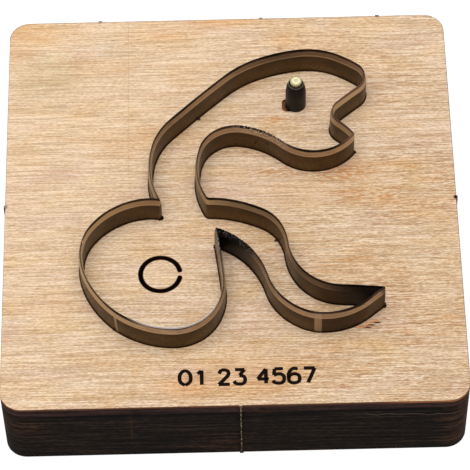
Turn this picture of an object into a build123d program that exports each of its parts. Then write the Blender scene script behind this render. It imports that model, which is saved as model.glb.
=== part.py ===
from build123d import *
import math
import os

# Steel-rule cutting die: a laser-cut plywood board, six bent steel rules that stand
# edge-up in its kerfs and close one figure outline, and a round hole punch whose
# sprung brass pin pushes the slug out.
# Millimetres, +Z up. The origin is the centre of the board's underside.

# Board
board_width = 86.7
board_depth = 89.6
board_thickness = 17.3
board_corner_radius = 4.0
tab_width = 0.7
tab_proud = 0.25
tab_overlap = 1.0

# Steel rule: standard height, ground on both sides to a central edge that stands
# 6.5 mm above the board
rule_height = 23.8
rule_thickness = 0.71
bevel_height = 1.85
edge_land = 0.04
nose_blunting = 0.15
trim_reach = 3.0

# Laser kerf and its bridges, the uncut wood that carries the inside of the outline.
# A shallow score runs on over the bridges, so the cut looks unbroken from above.
kerf_clearance = 0.1
kerf_overrun = 0.4
bridge_width = 4.0
score_depth = 0.6
notch_side_clearance = 0.2
notch_top_clearance = 0.05

# Ring kerf inside the body
ring_centre = (-13.6, -15.8)
ring_radius = 3.75
ring_kerf = 0.8
ring_bridge = 1.65

# Hole punch and its ejector
punch_centre = (13.2, 23.35)
punch_radius = 2.0
punch_height = 24.1
punch_shoulder = 21.1
punch_rim_radius = 1.5
punch_mouth_radius = 1.36
punch_mouth_depth = 1.5
pin_radius = 1.13
pin_clearance = 0.06
pin_top = 25.0
pin_top_chamfer = 0.12
pin_head_radius = 1.42
pin_head_height = 1.1
pin_seat = 15.0
seat_gap = 0.02
spring_bore_radius = 1.5
spring_radius = 1.2
spring_wire = 0.32
spring_coils = 5
plug_height = 3.0
plug_clearance = 0.01
bore_clearance = 0.02
pocket_left = 10.5
pocket_width = 3.05
pocket_middle = 23.05
pocket_radius = 0.9
pocket_depth = 0.5

# Corners of the figure where two rules meet
low_joint = (-21.6, -27.95)
neck_corner = (-13.5, -2.95)
beak_corner = (23.95, 11.45)
tail_corner = (28.15, -23.8)
under_joint = (15.6, -29.0)
under_corner = (-2.9, -9.75)

# Each rule is bent as a chain of arcs that run on from each other without a kink.
# The heading at its start and the points where the bend changes say it all.
bends = {
    "body_left_rule": (
        140,
        [low_joint, (-27.0, -20.85), (-28.45, -15.4), (-26.6, -8.65), (-17.6, -2.95), neck_corner],
    ),
    "body_right_rule": (
        -38,
        [low_joint, (-11.65, -31.72), (-3.25, -27.2), (-1.7, -20.05), under_corner],
    ),
    "neck_head_rule": (
        116,
        [neck_corner, (-15.1, 8.45), (-11.4, 15.6), (-0.85, 25.7), (5.65, 29.75), (14.0, 31.8),
         (21.7, 30.35), (25.4, 28.0), (25.45, 22.75), (20.9, 18.9), (21.0, 14.65), beak_corner],
    ),
    "throat_tail_rule": (
        -126,
        [beak_corner, (18.05, 7.7), (10.2, 9.9), (2.35, 13.75), (-5.85, 8.5), (-4.6, -2.6),
         (-4.05, -2.94), (0.75, -3.6), (6.05, -5.65), (9.2, -8.7), (10.5, -12.9), (12.35, -18.4),
         (20.35, -23.1), tail_corner],
    ),
    "tail_tip_rule": (-144, [tail_corner, (25.6, -25.85), under_joint]),
    "tail_under_rule": (171, [under_joint, (13.0, -28.2), (6.6, -20.55), (4.25, -15.4), under_corner]),
}

# Where the bridges cross, as fractions of each rule's length
bridges = {
    "body_left_rule": [0.2, 0.78],
    "body_right_rule": [0.3, 0.76],
    "neck_head_rule": [0.14, 0.42, 0.68],
    "throat_tail_rule": [0.1, 0.34, 0.64, 0.86],
    "tail_tip_rule": [0.6],
    "tail_under_rule": [0.55],
}


def bend_rule(name, overrun):
    """The plan of one rule's middle line, with a straight overrun past both its ends."""
    angle, points = bends[name]
    heading = Vector(1, 0, 0).rotate(Axis.Z, angle)
    start = Vector(*points[0])
    with BuildLine() as line:
        Line(start - heading * overrun, start)
        for bend_start, bend_end in zip(points, points[1:]):
            bend = TangentArc(bend_start, bend_end, tangent=heading)
            heading = bend % 1
        end = Vector(*points[-1])
        Line(end, end + heading * overrun)
    return line.line


paths = {name: bend_rule(name, kerf_overrun) for name in bends}
bent_only = {name: bend_rule(name, 0.001) for name in bends}


def bridge_places(name):
    """Where the bridges cross a rule, each turned to lie along it."""
    path = bent_only[name]
    places = []
    for fraction in bridges[name]:
        heading = path % fraction
        turn = Vector(1, 0, 0).get_signed_angle(heading, Vector(0, 0, 1))
        places.append(Location(path @ fraction, (0, 0, turn)))
    return places


# Plywood board with all its through-cuts
with BuildSketch() as kerf_plan:
    for name, path in paths.items():
        trace(path, line_width=rule_thickness + 2 * kerf_clearance)

with BuildSketch() as bridge_plan:
    for name in bends:
        with Locations(*bridge_places(name)):
            Rectangle(bridge_width, 3 * rule_thickness)

with BuildSketch() as score_plan:
    add(kerf_plan.sketch)
    add(bridge_plan.sketch, mode=Mode.INTERSECT)

with BuildSketch() as ring_plan:
    half_gap = math.degrees(ring_bridge / 2 / ring_radius)
    with BuildLine(mode=Mode.PRIVATE) as ring_line:
        CenterArc(ring_centre, ring_radius, half_gap, 360 - 2 * half_gap)
    SlotArc(ring_line.line.edge(), ring_kerf)

back_tabs = [(x, board_depth / 2 - tab_overlap) for x in (-25.3, 6.9, 30.2)]
front_tabs = [(1.0, -board_depth / 2 + tab_overlap)]
side_tabs = [(side * (board_width / 2 - tab_overlap), 0.4) for side in (-1, 1)]
tab_length = 2 * (tab_overlap + tab_proud)

with BuildSketch(Plane.XY.offset(board_thickness)) as pocket_plan:
    with Locations(((pocket_left + punch_centre[0]) / 2, pocket_middle)):
        RectangleRounded(punch_centre[0] - pocket_left, pocket_width, pocket_radius)

with BuildPart() as die_board:
    with BuildSketch() as outline:
        RectangleRounded(board_width, board_depth, board_corner_radius)
        with Locations(*back_tabs, *front_tabs):
            Rectangle(tab_width, tab_length)
        with Locations(*side_tabs):
            Rectangle(tab_length, tab_width)
        with Locations(punch_centre):
            Circle(punch_radius + bore_clearance, mode=Mode.SUBTRACT)
        add(kerf_plan.sketch, mode=Mode.SUBTRACT)
        add(score_plan.sketch)
        add(ring_plan.sketch, mode=Mode.SUBTRACT)
    extrude(amount=board_thickness)
    score_top = score_plan.sketch.moved(Location((0, 0, board_thickness)))
    extrude(score_top, amount=-score_depth, mode=Mode.SUBTRACT)
    extrude(pocket_plan.sketch, amount=-pocket_depth, mode=Mode.SUBTRACT)


def back_direction(name, corner):
    """The way a rule runs into its own length from the corner at one of its ends."""
    path = paths[name]
    if bends[name][1][0] == corner:
        return path % 0
    return -(path % 1)


def neighbour(name, corner):
    """The other rule that ends at a corner."""
    for other, (_, points) in bends.items():
        if other != name and corner in (points[0], points[-1]):
            return other


def make_rule(name):
    """One steel rule: the double-bevelled section swept round its bends, mitred and notched."""
    path = paths[name]
    half = rule_thickness / 2
    start = path @ 0
    heading = path % 0
    section_plane = Plane(origin=start, x_dir=Vector(0, 0, 1).cross(heading), z_dir=heading)
    with BuildPart() as rule:
        with BuildSketch(section_plane):
            with BuildLine():
                Polyline(
                    (-half, 0),
                    (half, 0),
                    (half, rule_height - bevel_height),
                    (edge_land / 2, rule_height),
                    (-edge_land / 2, rule_height),
                    (-half, rule_height - bevel_height),
                    close=True,
                )
            make_face()
        sweep(path=path)

        # Ground to the mitre with the next rule, and the sharp nose of the mitre taken off
        for corner in (bends[name][1][0], bends[name][1][-1]):
            own = back_direction(name, corner)
            other = back_direction(neighbour(name, corner), corner)
            across = other - own
            turn = Vector(1, 0, 0).get_signed_angle(across, Vector(0, 0, 1))
            with Locations(Location(Vector(*corner), (0, 0, turn))):
                Box(
                    trim_reach, 2 * trim_reach, rule_height,
                    align=(Align.MIN, Align.CENTER, Align.MIN), mode=Mode.SUBTRACT,
                )
            nose = -(own + other)
            if nose.length > 0.5:
                turn = Vector(1, 0, 0).get_signed_angle(nose, Vector(0, 0, 1))
                tip = Vector(*corner) + nose.normalized() * nose_blunting
                with Locations(Location(tip, (0, 0, turn))):
                    Box(
                        trim_reach, 2 * trim_reach, rule_height,
                        align=(Align.MIN, Align.CENTER, Align.MIN), mode=Mode.SUBTRACT,
                    )

        # Notches that let the rule straddle the bridges
        with Locations(*bridge_places(name)):
            Box(
                bridge_width + 2 * notch_side_clearance, 3 * rule_thickness,
                board_thickness - score_depth + notch_top_clearance,
                align=(Align.CENTER, Align.CENTER, Align.MIN), mode=Mode.SUBTRACT,
            )
    return rule


rules = {name: make_rule(name) for name in bends}

# Hole punch: turned outside with an ogive nose, its mouth opened out behind a thin rim,
# and cored for the pin and its spring
punch_axis = Axis((*punch_centre, 0), (0, 0, 1))
punch_plane = Plane(origin=(*punch_centre, 0), x_dir=(1, 0, 0), z_dir=(0, -1, 0))
pin_bore_radius = pin_radius + pin_clearance

with BuildPart() as punch_tube:
    with BuildSketch(punch_plane):
        with BuildLine():
            foot = Line((spring_bore_radius, 0), (punch_radius, 0))
            wall = Line(foot @ 1, (punch_radius, punch_shoulder))
            ogive = TangentArc(wall @ 1, (punch_rim_radius, punch_height), tangent=(0, 1))
            rim = Line(ogive @ 1, (punch_mouth_radius, punch_height))
            mouth = Line(rim @ 1, (punch_mouth_radius, punch_height - punch_mouth_depth))
            mouth_floor = Line(mouth @ 1, (pin_bore_radius, punch_height - punch_mouth_depth))
            pin_bore = Line(mouth_floor @ 1, (pin_bore_radius, pin_seat))
            seat = Line(pin_bore @ 1, (spring_bore_radius, pin_seat))
            Line(seat @ 1, foot @ 0)
        make_face()
    revolve(axis=punch_axis)

# Brass ejector pin: its head stops under the seat in the tube
with BuildPart() as ejector_pin:
    with BuildSketch(punch_plane):
        with BuildLine():
            Polyline(
                (0, pin_seat - seat_gap - pin_head_height),
                (pin_head_radius, pin_seat - seat_gap - pin_head_height),
                (pin_head_radius, pin_seat - seat_gap),
                (pin_radius, pin_seat - seat_gap),
                (pin_radius, pin_top - pin_top_chamfer),
                (pin_radius - pin_top_chamfer, pin_top),
                (0, pin_top),
                close=True,
            )
        make_face()
    revolve(axis=punch_axis)

# Compression spring between the plug and the pin's head. Its thin wire is given four
# flat sides, which keeps the hidden coil light.
spring_low = plug_height + spring_wire / 2
spring_high = pin_seat - seat_gap - pin_head_height - spring_wire / 2
spring_height = spring_high - spring_low

with BuildPart() as ejector_spring:
    with BuildLine() as coil:
        Helix(
            pitch=spring_height / spring_coils, height=spring_height, radius=spring_radius,
            center=(*punch_centre, spring_low),
        )
    with BuildSketch(Plane(origin=coil.line @ 0, z_dir=coil.line % 0)):
        RegularPolygon(spring_wire / 2, 4)
    sweep(path=coil.line, is_frenet=True)

# Plug pressed into the tube's foot
with BuildPart() as punch_plug:
    with Locations((*punch_centre, 0)):
        Cylinder(
            spring_bore_radius - plug_clearance, plug_height,
            align=(Align.CENTER, Align.CENTER, Align.MIN),
        )

pieces = {
    "die_board": die_board,
    **rules,
    "punch_tube": punch_tube,
    "ejector_pin": ejector_pin,
    "ejector_spring": ejector_spring,
    "punch_plug": punch_plug,
}

os.makedirs("parts", exist_ok=True)
for name, piece in pieces.items():
    piece.part.label = name
    export_step(piece.part, f"parts/{name}.step")
    size = piece.part.bounding_box().size
    print(f"{name}: {len(piece.part.solids())} solid, {piece.part.volume:.0f} mm3,"
          f" {size.X:.1f} x {size.Y:.1f} x {size.Z:.1f} mm")
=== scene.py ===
# %% [markdown]
# # A steel-rule cutting die
#
# The die is a laser-cut plywood board with six bent steel rules pressed into its kerfs, a round
# hole punch, and a sprung brass pin in the punch. The imported CAD model already has every form.
# This lesson gives it its light, its camera and its finishes, and a coiled spring of round wire. It
# also adds what making the die leaves behind: scorched lips along each cut, burnt numbers, and a
# few torn splinters. The frame comes first, because everything else is placed by it. Its box is
# kept as a yardstick.

# %% Load the frame
import math

import bmesh
import bpy
from mathutils import Matrix, Vector


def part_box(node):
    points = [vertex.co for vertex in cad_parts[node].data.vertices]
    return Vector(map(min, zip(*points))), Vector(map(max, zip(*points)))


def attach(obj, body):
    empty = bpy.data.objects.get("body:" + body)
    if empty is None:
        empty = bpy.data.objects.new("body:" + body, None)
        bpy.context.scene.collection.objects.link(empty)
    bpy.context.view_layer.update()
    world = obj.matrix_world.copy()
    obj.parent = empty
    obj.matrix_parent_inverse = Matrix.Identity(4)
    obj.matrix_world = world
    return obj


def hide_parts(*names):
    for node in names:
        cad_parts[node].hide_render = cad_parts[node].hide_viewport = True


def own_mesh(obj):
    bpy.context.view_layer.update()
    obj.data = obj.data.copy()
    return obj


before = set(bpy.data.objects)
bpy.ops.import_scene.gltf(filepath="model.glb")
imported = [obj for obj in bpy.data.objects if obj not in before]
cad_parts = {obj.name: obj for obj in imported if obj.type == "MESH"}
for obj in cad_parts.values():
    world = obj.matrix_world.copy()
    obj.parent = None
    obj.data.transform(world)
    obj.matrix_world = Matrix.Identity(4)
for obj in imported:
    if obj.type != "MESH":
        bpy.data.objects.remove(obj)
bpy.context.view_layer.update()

mm = 0.001
board_low, board_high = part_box("die_board")
board_top = board_high.z
print("board top at", round(board_top / mm, 2), "mm; nodes:", ", ".join(sorted(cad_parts)))

# %% [markdown]
# ## Camera
#
# A product photograph like this one is taken with a long lens from above the front edge. The
# lens and the place of the camera come from the board's own edges: two pairs of parallel lines
# and one known width fix the view. The camera is then set by its matrix, column by column,
# rather than aimed with a constraint, so that the slight roll of the picture is kept as well.

# %% Camera
picture_width = 470
focal_length_pixels = 2852.6
sensor_width = 36.0
elevation = math.radians(56.311)
yaw = math.radians(0.238)
roll = math.radians(1.1175)
distance = 547.64 * mm
aim_right, aim_down = -0.815 * mm, -6.015 * mm
nearest_seen, farthest_seen = 10 * mm, 20


def new_object(name, data):
    """An object that shows a mesh, a lamp or a camera, put into the scene."""
    made = bpy.data.objects.new(name, data)
    bpy.context.scene.collection.objects.link(made)
    return made


forward = Vector((
    math.sin(yaw) * math.cos(elevation), math.cos(yaw) * math.cos(elevation), -math.sin(elevation)
))
level_right = Vector((math.cos(yaw), -math.sin(yaw), 0))
level_down = forward.cross(level_right)
right = math.cos(roll) * level_right + math.sin(roll) * level_down
down = math.cos(roll) * level_down - math.sin(roll) * level_right

camera_data = bpy.data.cameras.new("camera")
camera_data.sensor_width = sensor_width
camera_data.lens = sensor_width * focal_length_pixels / picture_width
camera_data.clip_start, camera_data.clip_end = nearest_seen, farthest_seen
camera = new_object("camera", camera_data)
eye = Vector((0, 0, board_top)) - (aim_right * right + aim_down * down + distance * forward)
turn = Matrix((right, -down, -forward)).transposed()
camera.matrix_world = Matrix.Translation(eye) @ turn.to_4x4()
bpy.context.scene.camera = camera
print("lens", round(camera_data.lens, 1), "mm, camera", round(eye.length, 3), "m from the origin")

# %% [markdown]
# ## Finishes, node by node
#
# Every finish here is procedural. Placing nodes one call at a time is long-winded, so a small
# helper adds a node and hands back its output, and a finish then reads like a recipe. All the
# patterns are measured in millimetres on Object coordinates: the pieces never move in their own
# space, so a grain or a ply line stays where it is put.

# %% A helper for finishes


class Finish:
    """A material being mixed. Each call adds a node or two and returns what comes out."""

    def __init__(self, name):
        self.material = bpy.data.materials.new(name)
        self.material.use_nodes = True
        self.tree = self.material.node_tree
        self.shader = self.tree.nodes["Principled BSDF"]
        place = self.add("ShaderNodeTexCoord").outputs["Object"]
        self.place = self.stretch(place, (1 / mm, 1 / mm, 1 / mm))
        self.x, self.y, self.z = self.axes(self.place)

    def add(self, kind, **settings):
        node = self.tree.nodes.new(kind)
        for name, value in settings.items():
            setattr(node, name, value)
        return node

    def feed(self, socket, value):
        if isinstance(value, bpy.types.NodeSocket):
            self.tree.links.new(value, socket)
        else:
            socket.default_value = value

    # Numbers

    def math(self, operation, *values):
        node = self.add("ShaderNodeMath", operation=operation)
        for socket, value in zip(node.inputs, values):
            self.feed(socket, value)
        return node.outputs[0]

    def times(self, first, *others):
        for other in others:
            first = self.math("MULTIPLY", first, other)
        return first

    def plus(self, first, *others):
        for other in others:
            first = self.math("ADD", first, other)
        return first

    def minus(self, first, second):
        return self.math("SUBTRACT", first, second)

    def larger(self, first, *others):
        for other in others:
            first = self.math("MAXIMUM", first, other)
        return first

    def swing(self, noise, width):
        """A noise, which lies round a half, made to swing round nought."""
        return self.times(self.minus(noise, 0.5), width)

    def step(self, value, low, high, first=0.0, last=1.0):
        """A smooth step from first to last as the value goes from low to high."""
        node = self.add("ShaderNodeMapRange", interpolation_type="SMOOTHSTEP")
        for socket, number in zip(node.inputs, (value, low, high, first, last)):
            self.feed(socket, number)
        return node.outputs[0]

    def band(self, value, low, high, soft):
        """1 between low and high, 0 outside, with soft ends."""
        rise = self.step(value, low - soft, low + soft)
        fall = self.step(value, high - soft, high + soft, 1.0, 0.0)
        return self.times(rise, fall)

    # Places

    def axes(self, vector):
        node = self.add("ShaderNodeSeparateXYZ")
        self.feed(node.inputs[0], vector)
        return node.outputs

    def vector(self, operation, *values):
        node = self.add("ShaderNodeVectorMath", operation=operation)
        for socket, value in zip(node.inputs, values):
            self.feed(socket, value)
        return node.outputs["Value" if operation == "LENGTH" else "Vector"]

    def stretch(self, place, scale):
        """The place times a scale. Big numbers squeeze a pattern, small ones draw it out."""
        return self.vector("MULTIPLY", place, scale)

    def shift(self, place, offset):
        return self.vector("ADD", place, offset)

    def spot(self, centre, reach, soft):
        """1 round a centre, 0 past the reach. An axis with no reach, or left out, doesn't count."""
        x, y, z = (*centre, 0)[:3]
        scale = tuple(1 / value if value else 0 for value in (*reach, 0)[:3])
        away = self.stretch(self.shift(self.place, (-x, -y, -z)), scale)
        return self.step(self.vector("LENGTH", away), 1 - soft, 1 + soft, 1.0, 0.0)

    def noise(self, scale, place=None, detail=2.0, roughness=0.5):
        """A noise with that many waves to a millimetre along each axis."""
        node = self.add("ShaderNodeTexNoise")
        self.feed(node.inputs["Vector"], self.stretch(place or self.place, scale))
        node.inputs["Scale"].default_value = 1.0
        node.inputs["Detail"].default_value = detail
        node.inputs["Roughness"].default_value = roughness
        return node.outputs["Fac"]

    # Colours

    def mix(self, share, first, second, blend="MIX"):
        node = self.add("ShaderNodeMix", data_type="RGBA", blend_type=blend)
        self.feed(node.inputs[0], share)
        for socket, colour in ((node.inputs[6], first), (node.inputs[7], second)):
            self.feed(socket, colour if isinstance(colour, bpy.types.NodeSocket) else (*colour, 1))
        return node.outputs[2]

    def lay(self, colour, over, *shares):
        """One colour laid over another, where all the shares together are high."""
        return self.mix(self.times(*shares), colour, over)

    def stain(self, colour, tint, *shares):
        """The colour multiplied by a tint, as a stain in wood does, where the shares are high."""
        return self.mix(self.times(*shares), colour, tint, "MULTIPLY")

    def ramp(self, value, stops):
        node = self.add("ShaderNodeValToRGB")
        elements = node.color_ramp.elements
        while len(elements) < len(stops):
            elements.new(0.5)
        for element, (position, colour) in zip(elements, stops):
            element.position = position
            element.color = (*colour, 1)
        self.feed(node.inputs[0], value)
        return node.outputs[0]

    def surface(self, colour, roughness, metallic=0.0, *, height, relief):
        """Feeds the shader. The relief is the height of the bump in millimetres."""
        self.feed(self.shader.inputs["Base Color"], colour)
        self.feed(self.shader.inputs["Roughness"], roughness)
        self.feed(self.shader.inputs["Metallic"], metallic)
        bump = self.add("ShaderNodeBump")
        bump.inputs["Distance"].default_value = relief * mm
        self.feed(bump.inputs["Height"], height)
        self.feed(self.shader.inputs["Normal"], bump.outputs[0])
        return self.material


def srgb(red, green, blue):
    """A colour as a picture editor shows it, 0 to 255, made linear for the shader."""
    return tuple(
        (c / 255 / 12.92) if c / 255 <= 0.04045 else ((c / 255 + 0.055) / 1.055) ** 2.4
        for c in (red, green, blue)
    )


def dress(node_name, material):
    """Puts a finish in every material slot of a CAD node."""
    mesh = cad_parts[node_name].data
    mesh.materials.clear()
    mesh.materials.append(material)


# %% [markdown]
# ## Places on the board
#
# The board is a rounded rectangle with a few broken holding tabs that stand a quarter of a
# millimetre proud of it. The finishes need its outline without the tabs, the height of its face,
# and the bore of the punch with the shallow pocket beside it. They are measured on the CAD
# nodes as far as a box can tell them.

# %% Places on the board
tab_proud = 0.25
corner_radius = 4.0
front_tab_x = 1.0
face_level = board_top / mm
board_half = (board_high - board_low) / 2
half_width, half_depth = board_half.x / mm - tab_proud, board_half.y / mm - tab_proud
punch_low, punch_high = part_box("punch_tube")
punch_place = ((punch_low.x + punch_high.x) / 2 / mm, (punch_low.y + punch_high.y) / 2 / mm)
pocket_place = (punch_place[0] - 1.6, punch_place[1] - 0.3)
print("board", round(2 * half_width, 1), "by", round(2 * half_depth, 1), "mm without its tabs")

# %% [markdown]
# ## Veneer
#
# The board's face is rotary-cut veneer: short, thin streaks that run from left to right, a
# little lighter and darker, with brown lines and pores among them, orange resin flecks, and slow
# patches of pink and yellow. One noise can't do that, so several are stretched along the grain
# at different sizes and mixed. Stains, flecks and the marks that the laser leaves where it
# starts have places of their own, so they are listed by centre and reach.

# %% Stains and marks on the face
# Centre, reach, tint and strength. Orange is heat and resin, grey is dirt.
stains = [
    ((-38.5, 42.6), (9.0, 3.2), (1.0, 0.84, 0.66), 0.5),
    ((-41.5, 37.0), (3.5, 1.6), (1.0, 0.80, 0.60), 0.45),
    ((0.2, 44.4), (6.0, 1.4), (1.0, 0.78, 0.56), 0.6),
    ((10.7, 39.6), (2.2, 1.8), (1.0, 0.80, 0.60), 0.6),
    ((-13.2, 41.2), (8.0, 1.6), (1.0, 0.88, 0.76), 0.5),
    ((-35.5, 31.0), (6.0, 5.5), (0.84, 0.88, 0.80), 0.7),
    ((-23.6, 37.6), (2.6, 2.0), (0.88, 0.94, 1.00), 0.6),
    ((1.5, -37.6), (17.0, 5.0), (0.96, 0.78, 0.56), 0.5),
    ((-9.5, -41.0), (4.5, 2.0), (1.0, 0.76, 0.54), 0.6),
    ((22.5, -31.8), (6.0, 2.0), (0.92, 0.80, 0.64), 0.6),
    ((30.0, 7.0), (12.0, 2.6), (0.97, 0.86, 0.74), 0.5),
    ((40.0, -2.0), (7.0, 3.0), (0.96, 0.84, 0.72), 0.5),
    ((36.0, -26.0), (9.0, 7.0), (0.96, 0.88, 0.78), 0.5),
    ((16.0, 2.0), (10.0, 3.0), (0.98, 0.88, 0.78), 0.5),
]
# Where orange flecks crowd together: centre and reach
fleck_patches = [
    ((24.8, 7.4), (3.5, 1.4)), ((20.5, 6.0), (6.0, 1.3)), ((23.1, 1.7), (4.5, 1.4)),
    ((30.6, 1.8), (4.0, 1.5)), ((9.1, 19.6), (3.5, 1.2)), ((8.2, 7.1), (5.0, 1.2)),
]
# Where the laser starts a cut, where the splinters cast a painted shadow, and where a tab was
# broken off
start_marks = [(-5.9, 20.2), (8.5, -8.7), (-22.2, -27.8)]
splinter_shadow_marks = [(24.9, -28.6), (26.8, -27.6), (25.6, -28.1)]
tab_marks = [
    ((43.4, 0.4), 1.0), ((-43.5, 0.4), 0.6),
    ((-25.3, 45.0), 0.5), ((6.9, 45.0), 0.4), ((30.2, 45.0), 0.7),
]
# Two strips of veneer meet here
seam_x, seam_half = -19.65, 0.06
print(len(stains), "stains,", len(fleck_patches), "patches of flecks")

# %% [markdown]
# ### The veneer's recipe
#
# The grain is a place that sways slowly up and down before it is stretched, so the streaks
# aren't ruler-straight. The tone comes first, then casts, stains, lines and marks are laid over
# it one by one. The recipe is a function, because the scorched lips use it too.

# %% Grain and tone


def swaying_grain(f):
    """The place to read the grain at: it drifts up and down the board by a millimetre or so."""
    sway = f.add("ShaderNodeCombineXYZ")
    f.feed(sway.inputs[1], f.swing(f.noise((0.02, 0.05, 0.05), detail=1), 1.2))
    return f.shift(f.place, sway.outputs[0])


def wood_tone(f, grain, fibre):
    """Fibres, flecks and streaks mixed to one tone, with pink, yellow and bluish patches."""
    fleck = f.noise((1.4, 7.8, 1.0), grain, detail=1)
    streak = f.noise((0.07, 1.0, 1.0), grain, detail=1)
    tone = f.plus(f.times(fibre, 0.44), f.times(streak, 0.03), f.times(fleck, 0.51))
    colour = f.ramp(f.step(tone, 0.35, 0.65), [
        (0.0, srgb(192, 157, 120)), (0.35, srgb(222, 191, 156)),
        (0.65, srgb(235, 208, 177)), (1.0, srgb(250, 232, 208)),
    ])
    drift = f.noise((0.04, 0.1, 0.3))
    cast = f.noise((0.09, 0.2, 0.3))
    colour = f.stain(colour, srgb(250, 238, 243), f.step(drift, 0.3, 0.48, 0.4, 0.0))
    colour = f.stain(colour, srgb(250, 235, 212), f.step(drift, 0.5, 0.72, 0.0, 0.7))
    colour = f.stain(colour, srgb(246, 240, 250), f.step(cast, 0.3, 0.45, 0.6, 0.0))
    return f.stain(colour, srgb(250, 241, 216), f.step(cast, 0.52, 0.68, 0.0, 0.65))


# %% Veneer


def marked(f, colour, grain):
    """The colour with the crowded flecks, the seam and the listed marks on it."""
    crowded = f.step(f.noise((0.75, 3.6, 1.0), grain, detail=1), 0.5, 0.58)
    for centre, reach in fleck_patches:
        colour = f.lay(colour, srgb(198, 136, 82), crowded, f.spot(centre, reach, 0.6), 0.75)
    seam = f.band(f.x, seam_x - seam_half, seam_x + seam_half, 0.05)
    colour = f.lay(colour, srgb(170, 130, 96), seam, f.step(f.y, 5.0, 9.0, 0.0, 0.3))
    for centre in start_marks:
        colour = f.lay(colour, srgb(40, 22, 12), f.spot(centre, (0.4, 0.3), 0.5))
    # Painted shadow under the splinters, dark brown.
    for centre in splinter_shadow_marks:
        colour = f.lay(colour, srgb(100, 48, 26), f.spot(centre, (0.7, 0.2), 0.5))
    for centre, strength in tab_marks:
        colour = f.lay(colour, srgb(38, 26, 20), f.spot(centre, (0.6, 0.5), 0.35), strength)
    return colour


def veneer(f):
    """The colour, roughness and height of bare veneer."""
    grain = swaying_grain(f)
    fibre = f.noise((0.12, 6.4, 1.0), grain, detail=1)
    line = f.step(f.noise((0.1, 5.6, 1.0), grain, detail=1), 0.57, 0.64)
    patchy = f.noise((0.05, 0.09, 0.3))
    rightward = f.step(f.x, -30, 35, 0.06, -0.03)
    leftward = f.step(f.minus(f.y, f.x), -70, 70)
    dash = f.step(f.minus(f.noise((0.42, 4.2, 1.0), grain, detail=1), rightward), 0.6, 0.7)
    dash = f.times(dash, f.step(patchy, 0.38, 0.55))
    resin = f.step(f.minus(f.noise((0.16, 1.1, 1.0), grain), rightward), 0.56, 0.68)
    resin = f.times(resin, f.step(patchy, 0.44, 0.6))
    colour = f.stain(wood_tone(f, grain, fibre), srgb(248, 212, 174), resin, 0.4)
    colour = f.lay(colour, srgb(226, 197, 163), leftward, 0.33)
    for centre, reach, tint, strength in stains:
        colour = f.stain(colour, tint, f.spot(centre, reach, 0.8), strength)
    colour = f.lay(colour, srgb(174, 136, 94), line, 0.4)
    colour = f.lay(colour, srgb(172, 122, 80), dash, 0.7)
    colour = marked(f, colour, grain)
    paler = f.stain(colour, (1.115, 1.11, 1.115), 1.0)
    colour = f.lay(colour, paler, leftward)
    roughness = f.step(fibre, 0.3, 0.7, 0.75, 0.62)
    height = f.minus(fibre, f.times(f.larger(dash, line), 0.6))
    return colour, roughness, height


# %% [markdown]
# ## Charred plies
#
# The cut sides are something else: a laser chars them nearly black, and the plies show only as
# thin lines. Glue lines repeat with the ply's thickness, so they come from the fraction that is
# left when the height is divided by it. A little noise bows the levels, and some stretches are
# browner than others. Near the right end of the front, two plies have come apart.

# %% Charred plies
ply_pitch = 1.44
# Where the char is thin and brown: centre and reach
browned_stretches = [
    ((-39.5, 0, 11.0), (4.0, 0, 3.0)), ((-2.8, 0, 3.6), (4.2, 0, 3.2)),
    ((5.6, 0, 15.5), (5.5, 0, 0.8)), ((41.5, 0, 9.5), (3.0, 0, 9.0)),
    ((42.5, 0, 9.5), (2.6, 0, 8.0)), ((-19.4, 0, 9.5), (0.25, 0, 4.5)),
]


def split_plies(f, colour, level):
    """The colour with a wavy dark gap on the front, and a torn edge just below it."""
    wave = f.noise((0.35, 0.35, 0), detail=1)
    gap_level = f.plus(level, f.plus(f.times(f.x, 0.04), f.times(wave, 1.4)))
    near = f.spot((33.0, 0, 12.9), (8.5, 0, 4.0), 0.15)
    near = f.times(near, f.step(f.y, -1, 0, 1.0, 0.0))
    colour = f.lay(colour, srgb(10, 8, 10), f.band(gap_level, 14.9, 15.4, 0.1), near, 0.8)
    return f.lay(colour, srgb(112, 92, 84), f.band(gap_level, 14.6, 14.85, 0.06), near, 0.7)


def charred_plies(f):
    """The colour and height of the laser-cut side. Levels are in millimetres from below."""
    run = f.noise((0.05, 0.05, 1.7), detail=3, roughness=0.7)
    crumb = f.noise((0.9, 0.9, 2.2), detail=3)
    thread = f.noise((0.12, 0.12, 4.2), detail=1)
    striae = f.noise((5.0, 5.0, 0.12), detail=1)
    texture = f.plus(f.times(run, 0.45), f.times(crumb, 0.25), f.times(thread, 0.3))
    level = f.plus(f.z, f.swing(f.noise((0.07, 0.07, 0), detail=1), 0.7))
    glue = f.band(f.math("FRACT", f.times(level, 1 / ply_pitch)), 0.44, 0.56, 0.1)
    colour = f.ramp(texture, [
        (0.34, srgb(5, 4, 4)), (0.5, srgb(31, 26, 23)), (0.64, srgb(72, 58, 49)),
    ])
    purple = f.ramp(texture, [(0.36, srgb(28, 20, 19)), (0.6, srgb(86, 63, 60))])
    colour = f.lay(colour, purple, f.band(level, 14.9, 17.3, 0.12), 0.85)
    colour = f.lay(colour, srgb(9, 7, 7), f.band(level, 14.1, 14.8, 0.15), 0.8)
    browned = f.ramp(texture, [(0.44, srgb(26, 19, 16)), (0.6, srgb(104, 74, 56))])
    for centre, reach in browned_stretches:
        colour = f.lay(colour, browned, f.spot(centre, reach, 0.9), 0.6)
    colour = split_plies(f, colour, level)
    colour = f.lay(colour, srgb(10, 8, 8), glue, 0.6)
    singed = f.times(f.step(f.z, 16.65, 16.85), f.step(f.x, 26, 33, 0.25, 1.0))
    colour = f.lay(colour, srgb(196, 124, 74), singed, 0.85)
    height = f.minus(f.plus(run, f.times(striae, 0.5)), f.times(glue, 0.4))
    return colour, height


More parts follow.
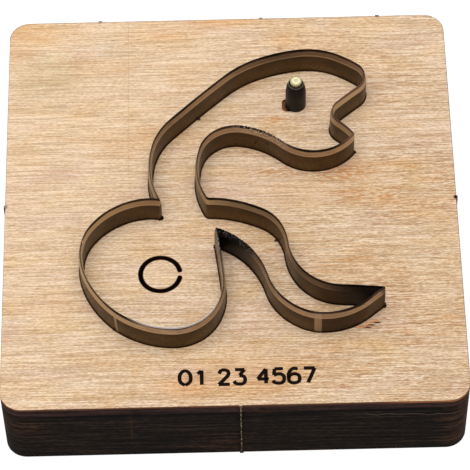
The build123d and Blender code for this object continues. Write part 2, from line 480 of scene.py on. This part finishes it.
# %% [markdown]
# ## Veneer and char on one board
#
# The board is one mesh with one material, so the material has to tell its faces apart. The way
# a point faces says whether it is flat or cut. Its distance from the rounded outline says
# whether it is outside, in a kerf or on a broken tab, and its height says whether it is sunk.

# %% Walls and faces


def rim_distance(f):
    """How far outside the board's rounded outline a point lies, in millimetres."""
    flat = f.vector("ABSOLUTE", f.stretch(f.place, (1, 1, 0)))
    inner = (corner_radius - half_width, corner_radius - half_depth, 0)
    past = f.vector("MAXIMUM", f.shift(flat, inner), (0, 0, 0))
    return f.minus(f.vector("LENGTH", past), corner_radius)


def cut_walls(f, side_colour, rim, fibres, in_pocket):
    """Char outside, brown in the kerfs and the pocket, pale torn fibres on the front tab."""
    on_front_tab = f.band(f.x, front_tab_x - 0.1, front_tab_x + 0.06, 0.03)
    torn = f.times(f.step(rim, 0.16, 0.24), on_front_tab)
    torn_colour = f.ramp(fibres, [(0.48, srgb(50, 38, 30)), (0.6, srgb(206, 184, 158))])
    colour = f.mix(f.step(rim, -0.4, -0.2), srgb(48, 26, 15), side_colour)
    colour = f.lay(colour, torn_colour, torn)
    return f.lay(colour, srgb(92, 56, 34), in_pocket)


def flat_faces(f, face_colour, rim, fibres, in_pocket):
    """Veneer, with a scorched floor in the pocket, darkened by a painted shadow next to the punch,
    and black below the face elsewhere.
    """
    floor_colour = f.mix(f.step(fibres, 0.35, 0.65), srgb(198, 138, 90), srgb(168, 112, 70))
    # Painted shadow: the pocket's floor darkens next to the punch.
    painted_punch_shadow = f.spot(punch_place, (2.6, 2.6), 0.25)
    floor_colour = f.lay(floor_colour, srgb(64, 34, 20), painted_punch_shadow, 0.85)
    below_face = f.step(f.z, face_level - 0.2, face_level - 0.1, 1.0, 0.0)
    sunk = f.times(below_face, f.step(f.z, 0.1, 0.2))
    colour = f.lay(face_colour, f.mix(in_pocket, srgb(22, 13, 9), floor_colour), sunk)
    return f.lay(colour, srgb(84, 68, 56), f.step(rim, 0.02, 0.1))


# %% Plywood


def plywood():
    f = Finish("plywood")
    face_colour, face_roughness, face_height = veneer(f)
    side_colour, side_height = charred_plies(f)
    rim = rim_distance(f)
    fibres = f.noise((6, 6, 2.2), detail=3)
    in_pocket = f.spot(pocket_place, (2.3, 2.3), 0.05)
    facing = f.axes(f.add("ShaderNodeNewGeometry").outputs["True Normal"])
    flat = f.step(f.math("ABSOLUTE", facing[2]), 0.6, 0.8)
    colour = f.mix(
        flat,
        cut_walls(f, side_colour, rim, fibres, in_pocket),
        flat_faces(f, face_colour, rim, fibres, in_pocket),
    )
    roughness = f.plus(f.times(flat, f.minus(face_roughness, 0.8)), 0.8)
    height = f.plus(f.times(flat, face_height), f.times(f.minus(1.0, flat), side_height))
    f.shader.inputs["Specular IOR Level"].default_value = 0.04
    return f.surface(colour, roughness, height=height, relief=0.05)


board_material = plywood()
dress("die_board", board_material)
print("board finish:", len(board_material.node_tree.nodes), "nodes")

# %% [markdown]
# ## Steel rule
#
# Cutting rule is strip steel with a dark tempered skin. Only the bevel is ground, so it is the
# one bright part, brightest in a thin line at its foot. Its last half millimetre up to the edge is
# hardened dark steel, painted nearly black as a dark reflection. All of that follows the height
# above the board, so the finish is a stack of zones on Z. Skin and bevel are mixed first, each by
# itself.

# %% Skin and bevel
bevel_height = 1.85
rule_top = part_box("neck_head_rule")[1].z / mm
bevel_foot = rule_top - bevel_height


def rule_skin(f, patch, skin):
    """The dark strip below the bevel, painted lighter towards the board against its shade, with a
    few dark drips.
    """
    blotch = f.step(patch, 0.35, 0.65)
    high_side = f.mix(blotch, (0.052, 0.031, 0.013), (0.078, 0.048, 0.021))
    low_side_painted_lighter = f.mix(blotch, (0.105, 0.067, 0.030), (0.150, 0.096, 0.044))
    # Painted light: the side is lighter towards the board to offset the shade that falls there.
    side = f.mix(f.step(f.z, face_level, bevel_foot), low_side_painted_lighter, high_side)
    side = f.lay(side, (0.050, 0.034, 0.020), f.step(skin, 0.35, 0.7, 0.0, 0.5))
    drips = f.step(f.noise((1.1, 1.1, 0.5)), 0.6, 0.68)
    return f.lay(side, (0.020, 0.012, 0.008), drips, f.spot((1.5, 13.0), (9.0, 4.0), 0.3), 0.7)


def rule_bevel(f, patch, grind):
    """The ground bevel: painted highlights make it paler on the left and in two bends, browned
    along the head.
    """
    bevel = f.mix(f.step(grind, 0.35, 0.65), (0.33, 0.235, 0.155), (0.48, 0.36, 0.25))
    bevel = f.lay(bevel, (0.25, 0.17, 0.105), f.step(patch, 0.4, 0.6, 0.0, 0.35))
    # Painted highlight: the bevel is paler on the left and in two bends.
    pale = f.larger(
        f.step(f.x, -14, -24),
        f.spot((1.0, -3.0), (7.0, 4.0), 0.4),
        f.spot((24.0, 17.0), (6.0, 8.0), 0.4),
    )
    bevel = f.lay(bevel, (0.50, 0.39, 0.25), pale, 0.7)
    return f.lay(bevel, (0.155, 0.095, 0.055), f.spot((12.0, 30.0), (16.0, 5.0), 0.5), 0.55)


print("bevel from", round(bevel_foot, 2), "to", round(rule_top, 2), "mm")

# %% [markdown]
# ### Edge, joints and wear
#
# The end faces of two rules that butt are ground clean, and show as a pale upright strip. The
# edge is hardened dark steel painted nearly black as a dark reflection, with a painted highlight at
# one bend. Where a rule has been handled it is nicked or dusty, and painted shade darkens a bend
# and two blue-black patches. These have places too, so spots and steps put them where they belong.

# %% Joints and edge
edge_nicks = [(-26.6, -7.3), (-28.1, -12.0)]


def joint_strips(f, grind):
    """Upright strips ground bright where two rules butt, along the front of the figure."""
    front = f.step(f.y, -27.4, -27.2, 1.0, 0.0)
    wide = f.times(f.band(f.x, 15.0, 16.35, 0.06), f.step(f.y, -28.95, -28.85, 1.0, 0.0))
    leaning = f.plus(f.x, f.times(f.minus(f.z, face_level), 0.07))
    narrow = f.times(f.band(leaning, -21.9, -21.45, 0.08), 0.8)
    return f.times(f.larger(wide, narrow), front, f.step(grind, 0.1, 0.5, 0.5, 0.9))


def edge_with_painted_reflections(f, colour, patch):
    """The colour with the black edge over it as a painted dark reflection, worn to bare metal at
    the nicks, with a painted highlight at one bend.
    """
    # Painted dark reflection: the top of the rule is painted nearly black, a little lighter at one
    # bend.
    black = f.step(f.minus(f.z, f.swing(patch, 0.5)), rule_top - 0.74, rule_top - 0.5)
    dark_reflection_tone = f.mix(f.step(patch, 0.45, 0.6), (0.018, 0.013, 0.012), (0.060, 0.040, 0.034))
    dark_reflection_tone = f.lay(dark_reflection_tone, (0.150, 0.092, 0.080), f.spot((24.0, 17.0), (4.5, 9.0), 0.3))
    colour = f.lay(colour, dark_reflection_tone, black)
    for x, y in edge_nicks:
        nick = f.spot((x, y, rule_top - 0.6), (0.3, 0.3, 0.35), 0.3)
        colour = f.lay(colour, (0.65, 0.52, 0.44), nick)
    # Painted highlight: a bluish-white band on the edge round the front bend.
    painted_highlight = f.times(
        f.spot((-9.5, -31.5), (8.5, 8.5), 0.3), f.step(f.z, rule_top - 0.5, rule_top - 0.3)
    )
    return f.lay(colour, (0.55, 0.58, 0.64), painted_highlight)


print("nicks on the edge:", len(edge_nicks))

# %% Rule steel


def dust_and_painted_shade(f, colour):
    """The colour with painted shade in a bend and in two blue-black patches, and pale dust on it.
    """
    shaded = f.times(
        f.spot((19.5, -27.6), (4.5, 2.6), 0.5),
        f.step(f.z, bevel_foot - 0.1, bevel_foot, 0.55, 0.15),
        f.step(f.y, -25.6, -26.2),
    )
    colour = f.lay(colour, (0.020, 0.012, 0.008), shaded)
    # Painted shade: two blue-black patches on the rules.
    painted_shade_patches = f.larger(
        f.spot((0.6, -11.6), (4.6, 4.6), 0.5), f.spot((25.0, -23.2), (6.0, 2.0), 0.9)
    )
    painted_shade_patches = f.times(painted_shade_patches, f.step(f.y, -24.8, -24.2))
    colour = f.lay(colour, (0.015, 0.014, 0.016), painted_shade_patches, 0.85)
    speckle = f.step(f.noise((4.2, 4.2, 4.2), detail=1), 0.56, 0.62)
    dusty = f.larger(
        f.spot((6.5, 11.5), (6.5, 3.5), 0.3), f.spot((2.0, -12.0), (5.5, 4.5), 0.3)
    )
    dusty = f.times(dusty, f.step(f.z, rule_top - 2.1, rule_top - 1.2))
    return f.lay(colour, (0.85, 0.82, 0.80), speckle, dusty, 0.8)


def rule_steel():
    f = Finish("rule_steel")
    patch = f.noise((0.16, 0.16, 0.3))
    grind = f.noise((0.7, 0.7, 14.0))
    skin = f.noise((2.2, 2.2, 1.4), detail=3, roughness=0.65)
    on_bevel = f.step(f.z, bevel_foot - 0.05, bevel_foot + 0.05)
    foot_line = f.band(f.z, bevel_foot - 0.02, bevel_foot + 0.24, 0.06)
    colour = f.mix(on_bevel, rule_skin(f, patch, skin), rule_bevel(f, patch, grind))
    colour = f.lay(colour, (0.52, 0.38, 0.255), foot_line, 0.7)
    colour = f.lay(colour, (0.44, 0.34, 0.25), joint_strips(f, grind))
    colour = dust_and_painted_shade(f, edge_with_painted_reflections(f, colour, patch))
    roughness = f.plus(f.times(skin, 0.2), 0.32)
    height = f.plus(grind, f.times(skin, 0.8))
    return f.surface(colour, roughness, 1.0, height=height, relief=0.006)


rule_names = [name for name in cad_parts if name.endswith("_rule")]
rule_material = rule_steel()
for name in rule_names:
    dress(name, rule_material)
print("rules dressed:", len(rule_names))

# %% [markdown]
# ## Punch, pin and spring
#
# The punch is turned and blackened, so its skin carries fine rings that a lathe tool leaves.
# The brass pin is faced off bright. The spring and the plug are inside, and only show when the
# die is taken apart, but the spring gets its own steel all the same, and the plug the punch's.

# %% Punch steel, brass and spring steel
rim_level = punch_high.z / mm


def turned(name, dark, light, rings, roughness, metallic, relief, painted_highlight_above=None, painted_highlight=None):
    """Lathe-turned metal: rings up its height and round its end face, and a faint blotch.

    Above a height it can carry a painted highlight tone."""
    f = Finish(name)
    from_axis = f.shift(f.place, (-punch_place[0], -punch_place[1], 0))
    radius = f.vector("LENGTH", f.stretch(from_axis, (1, 1, 0)))
    travel = f.add("ShaderNodeCombineXYZ")
    f.feed(travel.inputs[2], f.plus(f.z, radius))
    ring = f.noise((rings, rings, rings), travel.outputs[0], roughness=0.7)
    blotch = f.noise((1.8, 1.8, 1.8), detail=3)
    colour = f.mix(f.step(ring, 0.35, 0.7), dark, light)
    colour = f.lay(colour, dark, f.step(blotch, 0.5, 0.68, 0.0, 0.6))
    if painted_highlight:
        # Painted highlight: a lighter tone above the given height.
        colour = f.lay(colour, painted_highlight, f.step(f.z, painted_highlight_above - 0.05, painted_highlight_above + 0.05))
    rough = f.step(ring, 0.3, 0.7, roughness, roughness + 0.15)
    return f.surface(colour, rough, metallic, height=ring, relief=relief)


# The punch's rim carries a painted highlight tone above a height.
punch_material = turned(
    "punch_steel", (0.007, 0.007, 0.007), (0.036, 0.031, 0.028), rings=5.0, roughness=0.45,
    metallic=0.85, relief=0.03, painted_highlight_above=rim_level - 0.1, painted_highlight=(0.105, 0.090, 0.068),
)
brass_material = turned(
    "brass", (0.48, 0.44, 0.25), (0.78, 0.71, 0.49), rings=2.6, roughness=0.32,
    metallic=1.0, relief=0.008,
)
spring_material = turned(
    "spring_steel", (0.30, 0.30, 0.31), (0.48, 0.48, 0.50), rings=6.0, roughness=0.3,
    metallic=1.0, relief=0.003,
)
dress("punch_tube", punch_material)
dress("punch_plug", punch_material)
dress("ejector_pin", brass_material)
dress("ejector_spring", spring_material)
print("punch rim at", round(rim_level, 2), "mm")

# %% [markdown]
# ## A coiled spring
#
# When the pin is pressed down, the spring under its head has to shorten with it. The packed
# spring can't, and its wire is four-sided to keep it light. A second spring stands in for it
# here: one ring of points is spun round the punch's axis while it climbs, which is how wire is
# coiled.

# %% Coiled wire
wire_width, wire_sides = 0.32, 8
coils, steps_per_coil = 5, 28
spring_low, spring_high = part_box("ejector_spring")
coil_radius = (spring_high.x - spring_low.x) / 2 / mm - wire_width / 2
coil_foot = spring_low.z / mm + wire_width / 2
climb = (spring_high.z - spring_low.z) / mm - wire_width


def finished_mesh(name, form):
    """A mesh made from a bmesh, which is then let go."""
    mesh = bpy.data.meshes.new(name)
    form.to_mesh(mesh)
    form.free()
    return mesh


coil = bmesh.new()
ring = bmesh.ops.create_circle(
    coil, cap_ends=False, segments=wire_sides, radius=wire_width / 2
)["verts"]
upright = Matrix.Rotation(math.radians(90), 4, "X")
start = Matrix.Translation((punch_place[0] + coil_radius, punch_place[1], coil_foot))
bmesh.ops.transform(coil, matrix=start @ upright, verts=ring)
bmesh.ops.spin(
    coil, geom=coil.verts[:] + coil.edges[:], cent=(*punch_place, 0), axis=(0, 0, 1),
    dvec=(0, 0, climb / (coils * steps_per_coil)), angle=2 * math.pi * coils,
    steps=coils * steps_per_coil,
)
wire_ends = [edge for edge in coil.edges if edge.is_boundary]
bmesh.ops.holes_fill(coil, edges=wire_ends, sides=wire_sides)
bmesh.ops.recalc_face_normals(coil, faces=coil.faces)
bmesh.ops.transform(coil, matrix=Matrix.Scale(mm, 4), verts=coil.verts)
print("wire", wire_width, "mm thick,", coils, "turns,", round(climb, 2), "mm of climb")

# %% Spring
spring_mesh = finished_mesh("round_wire_spring", coil)
spring_mesh.shade_smooth()
spring_mesh.materials.append(spring_material)
spring = new_object("round_wire_spring", spring_mesh)
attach(spring, "die")
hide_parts("ejector_spring")
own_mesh(spring)

# %% [markdown]
# ## Scorched lips
#
# A laser chars the veneer a little way out from every cut, black at the kerf and fading to
# brown. The lip could be painted into the board's material, but a material can't see how near
# a cut is without a costly look-up. The cut itself knows: a copy of the board's top face is
# inset by the width of the scorch, and the band that the inset leaves is kept and given a small
# thickness. An attribute on it says how burnt each point is, and the veneer recipe shows
# through where it isn't.

# %% Scorched veneer


def scorched(name):
    """Veneer that turns brown and then black as the burnt attribute rises, with a ragged edge."""
    f = Finish(name)
    colour, roughness, height = veneer(f)
    burnt = f.add("ShaderNodeAttribute", attribute_name="burnt").outputs["Fac"]
    burnt = f.plus(burnt, f.swing(f.noise((2.5, 2.5, 2.5), detail=3), 0.5))
    colour = f.stain(colour, srgb(172, 132, 100), f.step(burnt, 0.1, 0.6))
    colour = f.lay(colour, srgb(24, 16, 12), f.step(burnt, 0.45, 0.75))
    return f.surface(colour, roughness, height=height, relief=0.04)


scorched_material = scorched("scorched_veneer")
print("scorched finish:", len(scorched_material.node_tree.nodes), "nodes")

# %% [markdown]
# ### Lips from the board's own faces
#
# The CAD mesh is loose triangles, so the copy has its doubles merged first, and everything but
# one flat face is deleted. Its long edges are cut shorter, so that the attribute has points
# enough to follow the outline. Even offset keeps the band equally wide round the corners.

# %% One face of the board, and how burnt it is
bore_reach, rim_reach, tab_margin = 3.6, 4.5, 0.02
merge_distance, level_slack = 0.0005 * mm, 0.01 * mm


def face_copy(level, up):
    """A merged copy of the board's flat face at one level."""
    sheet = bmesh.new()
    sheet.from_mesh(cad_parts["die_board"].data)
    bmesh.ops.remove_doubles(sheet, verts=sheet.verts, dist=merge_distance)
    others = [
        face for face in sheet.faces
        if abs(face.calc_center_median().z - level) > level_slack or face.normal.z * up < 0.5
    ]
    bmesh.ops.delete(sheet, geom=others, context="FACES")
    return sheet


def how_burnt(co):
    """Black at the kerfs and tabs, brown round the punch's bore, between them along the rim."""
    x, y = co.x / mm, co.y / mm
    if math.hypot(x - punch_place[0], y - punch_place[1]) < bore_reach:
        return 0.3
    if abs(x) > half_width + tab_margin or abs(y) > half_depth + tab_margin:
        return 1.0
    if abs(x) > half_width - rim_reach or abs(y) > half_depth - rim_reach:
        return 0.8 if y > half_depth - rim_reach or x > half_width - rim_reach else 0.6
    return 1.0


# %% Scorched lips
lip_width, lip_rise, lip_depth = 0.18 * mm, 0.012 * mm, 0.02 * mm
longest_edge, edge_step, shortest_edge = 0.8 * mm, 0.6 * mm, 0.001 * mm
in_line = 0.01


def scorched_lip(name, level, up):
    """A thin raised band along every edge of the board's flat face."""
    band = face_copy(level, up)
    rim = [edge for edge in band.edges if edge.is_boundary]
    for edge in [edge for edge in rim if edge.calc_length() > longest_edge]:
        bmesh.ops.subdivide_edges(band, edges=[edge], cuts=int(edge.calc_length() / edge_step))
    inside = [edge for edge in band.edges if not edge.is_boundary]
    bmesh.ops.dissolve_limit(band, angle_limit=in_line, verts=[], edges=inside)
    burnt = band.verts.layers.float.new("burnt")
    kept = set(bmesh.ops.inset_region(
        band, faces=band.faces[:], thickness=lip_width, use_boundary=True, use_even_offset=True
    )["faces"])
    for vert in {vert for face in kept for vert in face.verts if vert.is_boundary}:
        vert[burnt] = how_burnt(vert.co)
    bmesh.ops.delete(band, geom=[face for face in band.faces if face not in kept], context="FACES")
    bmesh.ops.translate(band, verts=band.verts, vec=(0, 0, up * lip_rise))
    bmesh.ops.solidify(band, geom=band.faces[:], thickness=lip_depth)
    bmesh.ops.dissolve_degenerate(band, edges=band.edges, dist=shortest_edge)
    mesh = finished_mesh(name, band)
    mesh.materials.append(scorched_material)
    piece = new_object(name, mesh)
    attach(piece, "die")
    print(name, len(mesh.polygons), "faces")


scorched_lip("scorched_lip_top", board_top, 1)
scorched_lip("scorched_lip_back", 0.0, -1)

# %% [markdown]
# ## Burnt numbers
#
# A die is told from others by numbers burnt near its front edge. A laser draws them with one
# stroke of even width rather than filling an outline, so each digit is a few strokes: curves
# with a round section, made a mesh and pressed nearly flat on the face.

# %% Strokes of the digits
# Each stroke is a list of points, across and up the digit from 0 to 1.
strokes = {
    "0": [[
        (0.5, 0), (0.1, 0.2), (0, 0.5), (0.1, 0.8), (0.5, 1), (0.9, 0.8), (1, 0.5), (0.9, 0.2),
        (0.5, 0),
    ]],
    "1": [[(0.22, 0.76), (0.57, 0.97)], [(0.6, 1), (0.6, 0)]],
    "2": [
        [(0.05, 0.74), (0.2, 0.94), (0.5, 1), (0.82, 0.92), (0.9, 0.7), (0.6, 0.42), (0, 0)],
        [(0, 0), (1, 0)],
    ],
    "3": [
        [(0.1, 1), (0.95, 1)], [(0.95, 1), (0.5, 0.6)],
        [(0.5, 0.6), (0.88, 0.52), (1, 0.3), (0.85, 0.06), (0.5, 0), (0.12, 0.07), (0, 0.22)],
    ],
    "4": [[(0.75, 0), (0.75, 1)], [(0.75, 1), (0, 0.32)], [(0, 0.32), (1, 0.32)]],
    "5": [
        [(0.92, 1), (0.15, 1)], [(0.15, 1), (0.08, 0.56)],
        [(0.08, 0.56), (0.5, 0.64), (0.88, 0.56), (1, 0.32), (0.85, 0.07), (0.5, 0), (0.1, 0.07),
         (0, 0.2)],
    ],
    "6": [[
        (0.85, 0.95), (0.5, 1), (0.14, 0.82), (0, 0.4), (0.14, 0.07), (0.5, 0), (0.88, 0.08),
        (1, 0.3), (0.88, 0.54), (0.5, 0.62), (0.14, 0.52), (0.02, 0.32),
    ]],
    "7": [[(0, 1), (1, 1)], [(1, 1), (0.35, 0)]],
}
print("digits that can be drawn:", "".join(strokes))

# %% Digits as a mesh
number_left, number_low, number_high = -10.2, -40.25, -37.15
digit_width, digit_pitch, space_pitch = 2.05, 2.85, 1.5
stroke_width = 0.72
pressed_height = 0.03


def add_stroke(curve, points):
    """One smooth stroke through its points, given in millimetres on the face."""
    spline = curve.splines.new("BEZIER")
    spline.bezier_points.add(len(points) - 1)
    for knot, (x, y) in zip(spline.bezier_points, points):
        knot.co = (x, y, 0)
        knot.handle_left_type = knot.handle_right_type = "AUTO"


def burnt_numbers(text):
    """The digits as a flat mesh on the board's face, and how far they run to the right."""
    curve = bpy.data.curves.new("number_strokes", "CURVE")
    curve.dimensions = "3D"
    curve.bevel_depth = stroke_width / 2
    curve.bevel_resolution = 1
    curve.resolution_u = 4
    curve.use_fill_caps = True
    left, height = number_left, number_high - number_low
    for letter in text:
        for stroke in strokes.get(letter, []):
            points = [(left + x * digit_width, number_low + y * height) for x, y in stroke]
            add_stroke(curve, points)
        left += digit_pitch if letter in strokes else space_pitch
    drawn = new_object("drawn_numbers", curve)
    bpy.context.view_layer.update()
    evaluated = drawn.evaluated_get(bpy.context.evaluated_depsgraph_get())
    mesh = bpy.data.meshes.new_from_object(evaluated)
    bpy.data.objects.remove(drawn)
    pressed = Matrix.Diagonal((mm, mm, pressed_height * mm / stroke_width, 1))
    mesh.transform(Matrix.Translation((0, 0, board_top)) @ pressed)
    return mesh, left


number_mesh, number_right = burnt_numbers("01 23 4567")
print("numbers", round(number_right - number_left, 1), "mm,", len(number_mesh.polygons), "faces")

# %% Burnt numbers


def burnt():
    f = Finish("burnt_mark")
    ash = f.noise((1.2, 3.5, 1.0), detail=3)
    colour = f.ramp(ash, [(0.3, srgb(10, 5, 4)), (0.6, srgb(22, 10, 7)), (0.8, srgb(50, 26, 16))])
    f.shader.inputs["Specular IOR Level"].default_value = 0.1
    return f.surface(colour, 0.9, height=ash, relief=0.03)


number_mesh.materials.clear()
number_mesh.materials.append(burnt())
numbers = new_object("burnt_numbers", number_mesh)
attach(numbers, "die")
print("numbers finished:", numbers.name)

# %% [markdown]
# ## Splinters
#
# Where the laser broke out near the tail, five slivers of veneer stand up from the face. Each is
# a thin cone laid along the grain and pressed flat, with its lower half sunk in the wood. They
# show fresh wood, so they are far more orange than the face.

# %% Splinters
# Place on the face, length, width and lean from the grain in degrees
slivers = [
    (24.0, -28.3, 2.2, 0.55, 12), (25.0, -28.35, 1.3, 0.4, 4),
    (25.9, -27.5, 2.2, 0.5, 12), (26.7, -27.1, 1.4, 0.4, 6), (28.2, -26.75, 1.2, 0.3, 14),
]
sliver_tip, sliver_flatness, sliver_lift = 0.03, 0.5, 0.02


def torn_fibre():
    f = Finish("torn_fibre")
    fibres = f.noise((1.5, 9.0, 4.0))
    colour = f.ramp(fibres, [
        (0.35, srgb(176, 96, 50)), (0.5, srgb(236, 158, 100)), (0.65, srgb(252, 206, 158)),
    ])
    return f.surface(colour, 0.7, height=fibres, relief=0.03)


sheaf = bmesh.new()
laid_down = Matrix.Diagonal((1, 1, sliver_flatness, 1)) @ Matrix.Rotation(math.radians(90), 4, "Y")
for x, y, length, width, lean in slivers:
    cone = bmesh.ops.create_cone(
        sheaf, cap_ends=True, segments=6, radius1=width / 2, radius2=sliver_tip, depth=length
    )["verts"]
    placed = Matrix.Translation((x, y, face_level + sliver_lift))
    placed = placed @ Matrix.Rotation(math.radians(lean), 4, "Z") @ laid_down
    bmesh.ops.transform(sheaf, matrix=Matrix.Scale(mm, 4) @ placed, verts=cone)
splinter_mesh = finished_mesh("splinters", sheaf)
splinter_mesh.materials.append(torn_fibre())
splinters = new_object("splinters", splinter_mesh)
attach(splinters, "die")
print("splinters", len(slivers))

# %% [markdown]
# ## Light
#
# The photograph is a cut-out on white, lit softly from all round with a little more from above.
# A white world does most of that, and one large lamp gives the forms a soft side. The camera,
# mirrors and glass see the world at full white, while the die is lit by a weaker one.

# %% World
white = (1, 1, 1, 1)
room_strength = 0.44


def seen_ray(tree):
    """1 for rays from the camera, a mirror or glass, which see the white studio."""
    path = tree.nodes.new("ShaderNodeLightPath")
    seen = path.outputs["Is Camera Ray"]
    for kind in ("Is Glossy Ray", "Is Transmission Ray"):
        larger = tree.nodes.new("ShaderNodeMath")
        larger.operation = "MAXIMUM"
        tree.links.new(seen, larger.inputs[0])
        tree.links.new(path.outputs[kind], larger.inputs[1])
        seen = larger.outputs[0]
    return seen


def background(tree, strength):
    """A white background of that strength."""
    node = tree.nodes.new("ShaderNodeBackground")
    node.inputs["Color"].default_value = white
    node.inputs["Strength"].default_value = strength
    return node.outputs[0]


world = bpy.data.worlds.new("studio")
bpy.context.scene.world = world
world.use_nodes = True
world_tree = world.node_tree
world_tree.nodes.clear()
world_out = world_tree.nodes.new("ShaderNodeOutputWorld")
either = world_tree.nodes.new("ShaderNodeMixShader")
world_tree.links.new(seen_ray(world_tree), either.inputs[0])
world_tree.links.new(background(world_tree, room_strength), either.inputs[1])
world_tree.links.new(background(world_tree, 1.0), either.inputs[2])
world_tree.links.new(either.outputs[0], world_out.inputs["Surface"])
print("the world lights the die at", room_strength)

# %% Lamp
lamp_data = bpy.data.lights.new("softbox", "AREA")
lamp_data.shape = "DISK"
lamp_data.size = 0.6
lamp_data.energy = 2.65
lamp = new_object("softbox", lamp_data)
lamp.location = (-0.06, -0.02, 0.6)
lamp.rotation_euler = (Vector((0, 0, 0)) - lamp.location).to_track_quat("-Z", "Y").to_euler()
print("lamp", round(lamp.location.length, 2), "m away,", round(lamp_data.energy, 2), "W")

# %% [markdown]
# ## Floor
#
# The floor has to be white to the camera without throwing more light on the die. So it is grey
# paper that takes the die's shadow, and what it lacks of white is a glow that only camera,
# mirror and glass rays see.

# %% Floor
floor_half_width, floor_drop = 3.0, 0.02 * mm
paper_grey, paper_glow = 0.45, 0.78

plane = bmesh.new()
bmesh.ops.create_grid(plane, x_segments=1, y_segments=1, size=floor_half_width)
bmesh.ops.translate(plane, verts=plane.verts, vec=(0, 0, -floor_drop))
floor_mesh = finished_mesh("floor", plane)
floor = new_object("floor", floor_mesh)

floor_material = bpy.data.materials.new("floor")
floor_material.use_nodes = True
floor_tree = floor_material.node_tree
paper = floor_tree.nodes["Principled BSDF"]
paper.inputs["Base Color"].default_value = (paper_grey, paper_grey, paper_grey, 1)
paper.inputs["Roughness"].default_value = 0.9
paper.inputs["Emission Color"].default_value = white
glow = floor_tree.nodes.new("ShaderNodeMath")
glow.operation = "MULTIPLY"
glow.inputs[1].default_value = paper_glow
floor_tree.links.new(seen_ray(floor_tree), glow.inputs[0])
floor_tree.links.new(glow.outputs[0], paper.inputs["Emission Strength"])
floor_mesh.materials.append(floor_material)
print("floor", 2 * floor_half_width, "m wide")

bpy.context.scene.view_settings.view_transform = "Standard"
